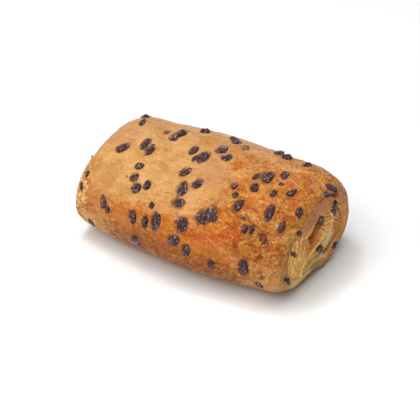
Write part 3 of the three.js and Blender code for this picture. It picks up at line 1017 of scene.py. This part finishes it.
# ---- The crust ----
CRUST_EDGE = Edge(waver=0.35, end=1.15, full=0.35)
HONEY_PATCHES = spots(
    (42, 16, 30, 34, 0.72), (40, -26, 30, 18, 0.6), (34, 40, 30, 18, 0.95), (0, 52, 62, 15, 0.9),
    (-45, 50, 14, 9, 0.7), (17, 4, 5, 6, 0.9), (-3, -7, 12, 5, 0.35), (-4, -56, 62, 17, 0.85),
    (-30, -38, 16, 10, 0.5), (15, -5, 12, 6, 0.5),
)
GLOW_PATCHES = spots(
    (29, 41.5, 10, 6, 0.85, -10), (12, 46, 7, 3.6, 0.7, 20), (20, 47, 10, 5, 0.5),
    (-14, 41, 9, 2.5, 0.35, 6), (-24, 45, 2.5, 5, 0.4), (0, 54, 9, 3, 0.4), (24, 33, 4, 2.5, 0.4),
    (34, 27, 3, 5, 0.4), (50, 14, 5, 3, 0.45), (45, -18, 3, 5, 0.5), (54, -10, 4, 5, 0.5),
    (44, -6.5, 7, 2.2, 0.55, -35), (-22, -50, 11, 4, 0.6, 12), (10, -56, 9, 3.5, 0.55, -8),
    (36, -48, 6, 4, 0.5), (-51, 41, 3, 3, 0.75), (17, 5, 2.5, 3.5, 0.55),
)
BROWN_PATCHES = spots(
    (0, 64, 62, 13, 0.75), (42, 42, 16, 14, 0.62), (46, 26, 14, 10, 0.3), (-6, 54, 14, 4, 0.45),
    (-47, 55, 10, 4, 0.45), (0, -68, 62, 13, 0.7), (-40, -52, 14, 7, 0.5), (24, -60, 14, 5, 0.45),
)
# pinkish patches: partly the crust's tone, partly a painted sheen on the top and back ridge
ROSY_SHEEN_PATCHES = spots(
    (9, 14, 15, 9, 0.45, 30), (-45, 8, 9, 14, 0.5), (10, -18, 34, 5, 0.6), (49, -4, 5, 8, 0.7),
    (-38, -16, 16, 8, 0.4),
)
CRUMB_PATCHES = spots(
    (58, 84, 4.5, 19, 1.0), (-58, 84, 3, 16, 0.7),
)
SCORCH_PATCHES = spots(
    (47, 39.5, 4.5, 2.6, 0.75, 25), (35, 32, 2.4, 1.6, 0.4), (48.5, 57, 2.5, 4, 0.35),
    (16.5, -3.7, 0.7, 1.4, 0.6, 20), (-13.4, 14.8, 0.7, 1.2, 0.5), (-29, 31.5, 1.2, 1.2, 0.5),
    (39.4, 22.5, 0.6, 1.8, 0.5), (-50, 42.5, 1.0, 1.4, 0.5),
)
CRUST_FOLDS = (
    Fold(((38, -7), (42, -8.6), (44.7, -11.9), (47.8, -15.5), (52, -17)), 0.7, 0.8),
    Fold(((-52, 22), (-46, 18), (-42, 12)), 0.35, 0.8),
    Fold(((-50, 31), (-41, 28), (-36, 23)), 0.3, 0.7),
    Fold(((12, 27), (16, 24), (19, 20)), 0.3, 0.7),
)


@dataclass(frozen=True)
class Waves:
    """A layer of unevenness: its grain, octaves and height, and what busy crust adds to that."""

    seed: int
    grain: Triple
    octaves: int
    height: float
    added: float = 0


CRUST_WAVES = (
    Waves(1, (13, 13, 13), 3, 0.4),
    Waves(2, (5.5, 3.6, 3.6), 3, 0.12, 0.14),
    Waves(3, (2.6, 1.5, 1.5), 2, 0.05, 0.09),
)


@dataclass
class Crust:
    """The browned skin of the roll with its relief and the values that its finish reads."""

    scatter: RaisinScatter
    girth_step: float = 0.5
    under_step: float = 1.4
    row_step: float = 0.56
    rim_rows: int = 46
    under_from: float = 80
    under_to: float = 134
    inner_rows: tuple[Range, ...] = ((1.5, 0.7), (13, 1.6))
    warp_grain: float = 8
    blisters: int = 2600
    blister_seed: int = 11
    blister_x: Range = (-57, 57)
    blister_girth: Range = (-75, 78)
    blister_radius: Range = (0.5, 1.1)
    blister_top: Range = (0.3, 1.0)
    blister_stretch: Range = (1.2, 2.6)
    blister_height: float = 0.28
    groove_length: float = 3.4
    groove_gap: float = 1.15
    groove_depth: float = 0.07
    groove_added: float = 0.1
    flake_grain: float = 1.6
    flake_height: float = 0.25
    flake_share: float = 0.75
    rim_girth: float = 46
    dent_reach: float = 12
    ring_shade_share: float = 0.6
    fold_warp: float = 1.2

    def __post_init__(self) -> None:
        """Settles the rows and columns of its grid."""
        self.row_x = self._rows()
        self.girths = self._columns()
        self.angles = FORM.angle_at(self.girths)
        self.places: Pair = tuple(np.meshgrid(self.row_x, self.girths, indexing="ij"))

    def _rows(self) -> Array:
        """Places of the rows along the roll, close together where the crust turns over an end."""
        turn = np.linspace(0, math.pi / 2, self.rim_rows)
        left = -FORM.half + LEFT_END.top_rim * (1 - np.sin(turn[::-1]))
        right = FORM.half - RIGHT_END.top_rim * (1 - np.sin(turn))
        count = round((right[0] - left[-1]) / self.row_step)
        middle = np.linspace(left[-1], right[0], count + 1)[1:-1]
        return np.concatenate([left, middle, right])

    def _columns(self) -> Array:
        """Girths of the columns, wider apart on the underside, the first one met again last."""
        _, lengths = FORM.girth_table()
        upper = np.arange(self.under_to - lengths[-1], self.under_from, self.girth_step)
        count = round((self.under_to - self.under_from) / self.under_step)
        return np.concatenate([upper, np.linspace(self.under_from, self.under_to, count + 1)])

    @staticmethod
    def _normals(points: Array) -> Array:
        """Directions out of the surface."""
        along = np.gradient(points, axis=0)
        ring = np.concatenate([points[:, -2:-1], points, points[:, 1:2]], axis=1)
        normal = np.cross((ring[:, 2:] - ring[:, :-2]) / 2, along)
        return normal / np.maximum(np.linalg.norm(normal, axis=-1, keepdims=True), 1e-9)

    @staticmethod
    def _busy(x: Array, girth: Array) -> Array:
        """How blistered and mottled the crust is at a place: the right part, left rim and foot."""
        calm = 1 - 0.5 * smooth(girth, 40, 50) * smooth(x, 46, 38)
        right = 0.9 * smooth(x, 6, 26) * calm
        rim = 0.95 * smooth(x, -44, -51) * smooth(np.abs(girth - 46), 30, 12)
        foot = 0.3 * smooth(girth, 38, 50)
        least = 0.1
        return np.clip(least + np.maximum.reduce([right, rim, foot]), 0, 1)

    def _blister_tops(self) -> Array:
        """Small blisters, thick on the right part and on the left rim, 1 at their tops."""
        rng = np.random.default_rng(self.blister_seed)
        height = np.zeros_like(self.places[0])
        for _ in range(self.blisters):
            x, girth = rng.uniform(*self.blister_x), rng.uniform(*self.blister_girth)
            radius, tall = rng.uniform(*self.blister_radius), rng.uniform(*self.blister_top)
            turn, stretch = rng.uniform(0, math.pi), rng.uniform(*self.blister_stretch)
            if rng.uniform() > self._busy(np.array(x), np.array(girth)):
                continue
            rows = np.abs(self.row_x - x) < 4 * radius
            columns = np.abs(self.girths - girth) < 4 * radius
            dx, dg = (self.row_x[rows] - x)[:, None], (self.girths[columns] - girth)[None, :]
            along = (dx * math.cos(turn) + dg * math.sin(turn)) / (radius * stretch)
            across = (dg * math.cos(turn) - dx * math.sin(turn)) / radius
            near = np.ix_(rows, columns)
            top = tall * smooth(np.hypot(along, across), 1.3, 0.1)
            height[near] = np.maximum(height[near], top)
        return height

    def _grooves(self, points: Array, warp: Array) -> Array:
        """Long fine grooves that follow the flow of the dough, 1 along their lines."""
        x, girth = self.places
        flow = 0.6 * Grain(7).at(points / 30) + 0.35 * warp
        along = (x * np.cos(flow) + girth * np.sin(flow)) / self.groove_length
        across = (girth * np.cos(flow) - x * np.sin(flow)) / self.groove_gap
        streak = Grain(8).rough(np.stack([along, across, warp], axis=-1), 3)
        return smooth(np.abs(streak), 0.14, 0.0)

    def _round_raisins(self, points: Array) -> Pair:
        """The dough round the raisins.

        Args:
            points: the points of the crust.

        Returns:
            How strongly each point is painted with the shade ring round a raisin, and the height of
            the mound and the dent there.
        """
        ring_shade, mound, dip = (np.zeros_like(self.places[0]) for _ in range(3))
        for one in self.scatter.raisins:
            if not one.on_crust:
                continue
            rows = np.abs(self.row_x - one.centre[0]) < self.dent_reach
            offset = points[rows] - one.place.point
            across, along = one.axes
            u, v = offset @ across / (one.width / 2), offset @ along / (one.length / 2)
            away = np.sqrt(u * u + v * v) + 0.12 * np.abs(offset @ one.place.outward)
            size = math.sqrt(one.width * one.length)
            # painted shade ring at the raisin's edge
            ring_shade[rows] = np.maximum(ring_shade[rows], bell(away, 0.95, 0.22))
            mound[rows] = np.maximum(mound[rows], 0.05 * size * bell(away, 1.2, 0.4))
            dip[rows] = np.maximum(dip[rows], (0.5 + 0.08 * size) * smooth(away, 0.88, 0.6))
        return self.ring_shade_share * ring_shade, mound - dip

    def _relief(self, points: Array) -> tuple[Array, Values]:
        """The relief of the crust.

        Args:
            points: the points of the smooth crust.

        Returns:
            The height of each point in millimetres, and the values for the finish.
        """
        x, girth = self.places
        busy = self._busy(x, girth)
        warp = Grain(4).rough(points / self.warp_grain, 3)
        groove_and_shade = self._grooves(points, warp)
        relief = np.zeros_like(x)
        for one in CRUST_WAVES:
            unevenness = Grain(one.seed).rough(points / one.grain, one.octaves)
            relief += unevenness * (one.height + one.added * busy)
        relief -= (self.groove_depth + self.groove_added * busy) * groove_and_shade
        blisters = self._blister_tops()
        ring_shade, dents = self._round_raisins(points)
        rim = smooth(x, -46, -52) * smooth(np.abs(girth - self.rim_girth), 18, 8)
        flakes = rim * smooth(Grain(6).rough(points / self.flake_grain, 3), 0.02, 0.3)
        relief += dents + self.blister_height * blisters + self.flake_height * flakes
        # the fold crests are painted light as well, as a highlight along each fold
        crest = np.zeros_like(x)
        for one in CRUST_FOLDS:
            away = one.away(x + self.fold_warp * warp, girth + self.fold_warp * warp)
            line = bell(away, 0, one.width)
            relief += one.height * line
            crest = np.maximum(crest, line)
        crumb = CRUST_EDGE.paint(CRUMB_PATCHES, self.places, warp)
        values = {
            "busy": busy,
            "groove_and_shade": groove_and_shade,
            "blister_and_crest_highlight": np.maximum(blisters, crest),
            "honey": CRUST_EDGE.paint(HONEY_PATCHES, self.places, warp),
            "glow": CRUST_EDGE.paint(GLOW_PATCHES, self.places, warp),
            "brown": CRUST_EDGE.paint(BROWN_PATCHES, self.places, warp),
            "ring_shade": ring_shade,
            "rosy_sheen": CRUST_EDGE.paint(ROSY_SHEEN_PATCHES, self.places, warp),
            "scorch": CRUST_EDGE.paint(SCORCH_PATCHES, self.places, 0.5 * warp),
            "flake": np.maximum(self.flake_share * flakes, crumb),
        }
        return relief * smooth(points[..., 2], 0.5, 5), values

    def _inner(self, end: End) -> Array:
        """The hidden wall that closes the crust behind an end."""
        rows = []
        for inset, depth in self.inner_rows:
            x = np.full_like(self.angles, end.side * FORM.half)
            flat = FORM.outline(x, self.angles, depth)
            rows.append(np.column_stack([x - end.side * inset, flat]))
        heart = rows[-1].copy()
        heart[:, 1:] = heart[:, 1:].mean(axis=0)
        return np.array([*rows, heart])

    def build(self, finish: Material) -> Piece:
        """Makes the crust as one closed piece."""
        base = FORM.skin(self.row_x[:, None], self.angles[None, :])
        relief, values = self._relief(base)
        points = base + self._normals(base) * relief[..., None]
        points[..., 2] = np.maximum(points[..., 2], 0)
        rows = [self._inner(LEFT_END)[::-1], points, self._inner(RIGHT_END)]
        return hand_in(bent_grid("pastry_crust", rows, values), finish)


# ---- The swirled ends ----
SPOT_EDGE = Edge(waver=0.3, end=1.2, full=0.4)
POCKET_EDGE = Edge(waver=0.12, end=1.05, full=0.5)
FOLDS = (
    Fold(
        ((-19, 9), (-16.7, 14.3), (-12.4, 17.1), (-7.4, 17.9), (-0.3, 19.3), (6.1, 22.1)), 1.2, 0.6
    ),
    Fold(((-25, 7), (-25, 20), (-24, 33)), 0.7, 0.5),
    Fold(((-24, 7), (-22.5, 18), (-21, 31)), 0.8, 0.5),
    Fold(((-23, 7), (-20, 17), (-18, 27), (-17, 31)), 0.9, 0.5),
    Fold(((-22, 7), (-17.5, 16), (-14.5, 24), (-13.5, 30)), 0.9, 0.55),
    Fold(((-21, 7.5), (-15.5, 15), (-12, 20), (-10.5, 25)), 0.7, 0.5),
    Fold(((7.5, 21), (11, 22.5), (12, 27), (9, 31)), 0.7, 0.7),
    Fold(((-12, 9.5), (-3, 11), (3, 10), (8, 11)), 0.5, 0.6),
)
POCKETS = spots(
    (-1.8, 26.4, 8.8, 5.2, 6.5, 24), (-8.1, 7.4, 3.2, 1.0, 3, 8), (8.6, 9.4, 3.2, 0.8, 2.5, 4),
    (13.5, 38.2, 5.5, 2.0, 2.2, -35),
)
WHITE_SPOTS = spots(
    (8.6, 15.8, 5.8, 3.2, 0.9, 20), (0, 9.4, 9, 2.4, 0.85), (-14.6, 10.7, 5, 1.6, 0.35, 15),
)
STRAW_SPOTS = spots(
    (-9, 12, 14, 5.5, 1.0, 12), (27.5, 22, 3, 9, 0.7), (-21, 18, 3, 9, 0.4),
)
ORANGE_SPOTS = spots(
    (-6, 22, 9, 3.4, 0.9, 12), (-15, 27, 4, 5, 0.6, 60), (16, 19, 5, 6, 0.5),
    (6.5, 31, 4, 2.5, 0.6, -50), (11.5, 36.5, 4, 2.2, 0.7, -35),
)
# painted shade: olive spots on the far, shaded wall of the pockets
HOLLOW_SHADE_SPOTS = spots(
    (-3.5, 27.6, 7.5, 3.4, 0.85, 22), (12, 7, 6, 1.5, 0.4, 4),
)
CAP_LOWER = (
    (-30, 35), (-24, 33.5), (-12, 31.5), (-4, 32.8), (2, 33.4), (8, 33), (14, 33), (22, 29),
    (30, 24),
)


@dataclass
class SwirlEnd:
    """The cut end of the roll: the edges of the rolled layers, an open pocket and membranes."""

    end: End
    name: str
    seed: int
    crust: Crust
    rings: int = 84
    deepest: float = 10.5
    core_rings: int = 60
    core_depth: float = 5.5
    layer: float = 1.35
    wall_rows: tuple[Range, ...] = ((0.8, 0.02), (11.5, 0.07), (11.5, 1.0))
    warp_grain: float = 6
    crinkle_grain: float = 1.6
    relief_grain: float = 5
    crown: float = 0.6
    gap_depth: float = 2.4
    gap_width: float = 0.5
    crinkle_height: float = 0.3

    def build(self, finish: Material) -> Piece:
        """Makes the end as one closed piece."""
        depth, flat = self._plane()
        height, values = self._height(flat, depth[:, None], self.crust.angles[None, :])
        x = self.end.side * (FORM.half + height)
        front = np.concatenate([x[..., None], flat], axis=-1)
        wall = np.array([self._wall_row(front[0], *one) for one in self.wall_rows])
        return hand_in(bent_grid(self.name, [wall[::-1], front, front[:0]], values), finish)

    def _plane(self) -> Pair:
        """Depths of the rings and their points across and up, from the rim in to the middle."""
        angle = self.crust.angles
        outer = np.linspace(0, self.deepest, self.rings)
        x = np.full((self.rings, angle.size), self.end.side * FORM.half)
        flat = FORM.outline(x, angle, outer[:, None])
        rim = FORM.skin(x[0], angle)[:, 1:]
        flat = flat + (rim - flat[0]) * smooth(outer, 6, 0)[:, None, None]
        share = np.linspace(0, 1, self.core_rings + 1)[1:]
        middle = flat[-1].mean(axis=0)
        core = flat[-1] + (middle - flat[-1]) * share[:, None, None]
        depths = np.concatenate([outer, self.deepest + self.core_depth * share])
        return depths, np.concatenate([flat, core])

    def _wall_row(self, rim: Array, inset: float, share: float) -> Array:
        """A row of the hidden wall behind the end."""
        row = rim + (rim.mean(axis=0) - rim) * share
        row[:, 0] = self.end.side * (FORM.half - inset)
        return row

    def _grain(self, base: int, size: float, octaves: int, places: Pair) -> Array:
        """Unevenness of this end's own, with grains of that many millimetres."""
        across, up = places
        points = np.stack([np.full_like(across, self.seed * 9.7), across, up], axis=-1)
        return Grain(base + self.seed).rough(points / size, octaves)

    def _height(self, flat: Array, depth: Array, angle: Array) -> tuple[Array, Values]:
        """The relief of the end.

        Args:
            flat: the points of the end's plane, across and up.
            depth: how deep each ring lies under the crust.
            angle: the angle of each column.

        Returns:
            How far each point stands out in millimetres, and the values for the finish.
        """
        places = y, z = flat[..., 0], flat[..., 1]
        warp = self._grain(21, self.warp_grain, 3, places)
        crinkle = self._grain(31, self.crinkle_grain, 3, places)
        turns = np.mod((angle - FORM.seam_angle) / FULL_TURN, 1)
        inside = depth - FORM.pitch * turns
        spread = 1.5 - 0.8 * smooth(z, 6, 28)
        phase = depth * spread / self.layer + 1.7 * warp + 0.3 * crinkle
        ridge = (0.5 + 0.5 * np.cos(FULL_TURN * phase)) ** 2
        cap = smooth(z + 1.6 * warp - np.interp(y, *zip(*CAP_LOWER)), -0.8, 1.4)
        rim = smooth(depth, 0.2, 1.2)
        inner = rim * (1 - cap)
        amount = self.end.layer_relief * (1 + self._grain(41, self.relief_grain, 2, places))
        height = self.crown * (1 - (1 - np.clip(depth / self.deepest, 0, 1)) ** 2)
        height = height - amount * (1 - ridge) * inner
        gap = bell(inside, FORM.flap, self.gap_width) * smooth(turns, 0.02, 0.08)
        gap = gap * smooth(turns, 0.5, 0.4) * inner
        height += self.crinkle_height * (1 + cap) * crinkle * rim - self.gap_depth * gap
        # the pockets, kept to paint shade in and to hold back the cream edges there
        hollow_shade = np.zeros_like(y)
        for one in POCKETS:
            away = one.away(y, z) + POCKET_EDGE.waver * warp
            pit = smooth(away, POCKET_EDGE.end, POCKET_EDGE.full)
            height = height * (1 - 0.7 * pit) - one.amount * pit
            hollow_shade = np.maximum(hollow_shade, pit)
        edge = np.zeros_like(y)
        for one in FOLDS:
            crest = bell(one.away(y + 0.7 * warp, z + 0.5 * crinkle), 0, one.width)
            height += one.height * crest * inner
            edge = np.maximum(edge, crest)
        toast = np.maximum(smooth(depth, 1.4, 0.2), cap)
        back = smooth(y + 2 * warp, 11, 17) * smooth(y, 30, 25) * (1 - 0.5 * ridge)
        lines = np.maximum(0.75 * ridge, edge) * inner * (1 - 0.75 * hollow_shade)
        values = {
            "ridge": 0.95 * lines,
            "hollow_shade": np.maximum(SPOT_EDGE.paint(HOLLOW_SHADE_SPOTS, places, warp), 0.7 * gap),
            "white": SPOT_EDGE.paint(WHITE_SPOTS, places, warp),
            "straw": SPOT_EDGE.paint(STRAW_SPOTS, places, warp),
            "orange": SPOT_EDGE.paint(ORANGE_SPOTS, places, warp),
            "toast": np.maximum(toast, 0.6 * back),
            # painted shade: the gaps between layers painted brown; the patches on the cap are
            # toasted crust
            "brown": np.clip(0.85 * gap + 0.3 * smooth(warp, 0.05, 0.4) * cap, 0, 1),
        }
        return height, values


# ---- The raisins ----
@dataclass
class Raisins:
    """All raisins as one piece: wrinkled ovals sunk into the dough."""

    scatter: RaisinScatter
    fineness: int = 4
    name: str = "raisins"
    lobes: float = 0.5
    crease_depth: float = 0.16
    fullness: float = 0.35
    apart: Triple = (3.1, 1.7, 2.3)

    def build(self, finish: Material) -> Piece:
        """Makes the raisins."""
        ball = bmesh.new()
        bmesh.ops.create_icosphere(ball, subdivisions=self.fineness, radius=1)
        mesh = mesh_of(ball, self.name)
        sphere = np.empty(len(mesh.vertices) * 3, np.float32)
        mesh.vertices.foreach_get("co", sphere)
        sphere = sphere.reshape(-1, 3).astype(float)
        whole = bmesh.new()
        for _ in self.scatter.raisins:
            whole.from_mesh(mesh)
        whole.to_mesh(mesh)
        whole.free()
        shaped = [self._shape(one, sphere, i) for i, one in enumerate(self.scatter.raisins)]
        set_points(mesh, np.concatenate([points for points, _ in shaped]))
        keep_value(mesh, "crease", np.concatenate([crease for _, crease in shaped]))
        keep_value(mesh, "veil", np.repeat([one.veil for one in self.scatter.raisins], len(sphere)))
        mesh.polygons.foreach_set("use_smooth", [True] * len(mesh.polygons))
        return hand_in(put_in(self.name, mesh), finish)

    def _shape(self, one: Raisin, sphere: Array, number: int) -> Pair:
        """Shapes one raisin.

        Args:
            one: the raisin.
            sphere: the points of a ball of radius 1.
            number: its number, which gives it wrinkles of its own.

        Returns:
            Its points, and how deep each lies in a crease.
        """
        shifted = sphere + number * np.array(self.apart)
        bend = 0.5 * Grain(53).at(shifted * 1.6)
        furrow = np.abs(Grain(52).rough(shifted * (2.8, 1.6, 2.8) + bend[:, None], 2))
        crease = smooth(furrow, 0.2, 0.0)
        radius = 1 + self.lobes * Grain(51).rough(shifted * 1.25, 2) - self.crease_depth * crease
        local = sphere * radius[:, None] * (one.width / 2, one.length / 2, one.thickness / 2)
        flat = np.hypot(sphere[:, 0], sphere[:, 1])
        local[:, :2] *= np.maximum(flat, 0.05)[:, None] ** -self.fullness
        across, along = one.axes
        return one.centre + local @ np.array([across, along, one.place.outward]), crease


# ---- The studio ----
@dataclass(frozen=True)
class SoftLight:
    """A square soft light: where it stands, its side and its power in watts."""

    name: str
    place: Triple
    side: float
    power: float

    def hang(self, aim: Vector) -> None:
        """Puts the light up, turned towards the aim."""
        lamp = bpy.data.lights.new(self.name, "AREA")
        lamp.shape = "SQUARE"
        lamp.size = self.side
        lamp.energy = self.power
        holder = put_in(self.name, lamp)
        holder.location = self.place
        holder.rotation_euler = (aim - Vector(self.place)).to_track_quat("-Z", "Y").to_euler()


@dataclass(frozen=True)
class Studio:
    """The floor, the lights and the camera."""

    azimuth: float = math.radians(32.2)
    elevation: float = math.radians(32.7)
    distance: float = 0.8
    lens: float = 144
    sensor: float = 36
    aim: Triple = (0, 0, 0.015)
    slide: Range = (-0.001143, 0.001524)
    floor_side: float = 6
    sky: float = 0.15
    lights: tuple[SoftLight, ...] = (
        SoftLight("high_left", (-0.3, -0.1, 1.0), 0.35, 1.9),
        SoftLight("glint", (-0.3, 0.05, 1.0), 0.08, 1.0),
        SoftLight("front_left", (-0.5, -0.6, 0.8), 0.6, 3.75),
        SoftLight("back", (-0.35, 0.9, 0.45), 0.6, 1.1),
        SoftLight("front", (0.1, -0.9, 0.7), 0.9, 5.9),
        SoftLight("ceiling", (0, 0, 1.1), 1.0, 8.2),
    )

    def build(self) -> None:
        """Sets everything up."""
        self._floor()
        for light in self.lights:
            light.hang(Vector(self.aim))
        self._world()
        self._camera()
        bpy.context.scene.view_settings.view_transform = "Standard"

    def _floor(self) -> None:
        """A plain floor under the roll."""
        sheet = bmesh.new()
        bmesh.ops.create_grid(sheet, x_segments=1, y_segments=1, size=self.floor_side / 2)
        floor = put_in("floor", mesh_of(sheet, "floor"))
        floor.data.materials.append(FloorFinish().material())

    def _world(self) -> None:
        """Even pale light from all round."""
        world = bpy.data.worlds.new("studio")
        world.use_nodes = True
        background = world.node_tree.nodes["Background"]
        background.inputs["Color"].default_value = (1, 1, 1, 1)
        background.inputs["Strength"].default_value = self.sky
        bpy.context.scene.world = world

    def _camera(self) -> None:
        """The camera at the photograph's angle."""
        az, el = self.azimuth, self.elevation
        right = Vector((math.cos(az), math.sin(az), 0))
        away = Vector((math.sin(az) * math.cos(el), -math.cos(az) * math.cos(el), math.sin(el)))
        up = away.cross(right)
        lens = bpy.data.cameras.new("camera")
        lens.lens = self.lens
        lens.sensor_width = self.sensor
        place = Vector(self.aim) + away * self.distance
        place += right * self.slide[0] + up * self.slide[1]
        holder = put_in("camera", lens)
        turn = Matrix((right, up, away)).transposed().to_4x4()
        holder.matrix_world = Matrix.Translation(place) @ turn
        bpy.context.scene.camera = holder


def main() -> None:
    """Builds the pastry and the studio."""
    logging.basicConfig(level=logging.INFO, format="%(name)s: %(message)s")
    scatter = RaisinScatter()
    crust = Crust(scatter)
    crumb = CrumbFinish().material()
    pieces = [
        crust.build(CrustFinish().material()),
        SwirlEnd(RIGHT_END, "swirl_right", 1, crust).build(crumb),
        SwirlEnd(LEFT_END, "swirl_left", 2, crust).build(crumb),
        Raisins(scatter).build(RaisinFinish().material()),
    ]
    for piece in pieces:
        triangles = sum(len(face.vertices) - 2 for face in piece.data.polygons)
        log.info("%s: %d triangles", piece.name, triangles)
    Studio().build()


if __name__ == "__main__":
    main()
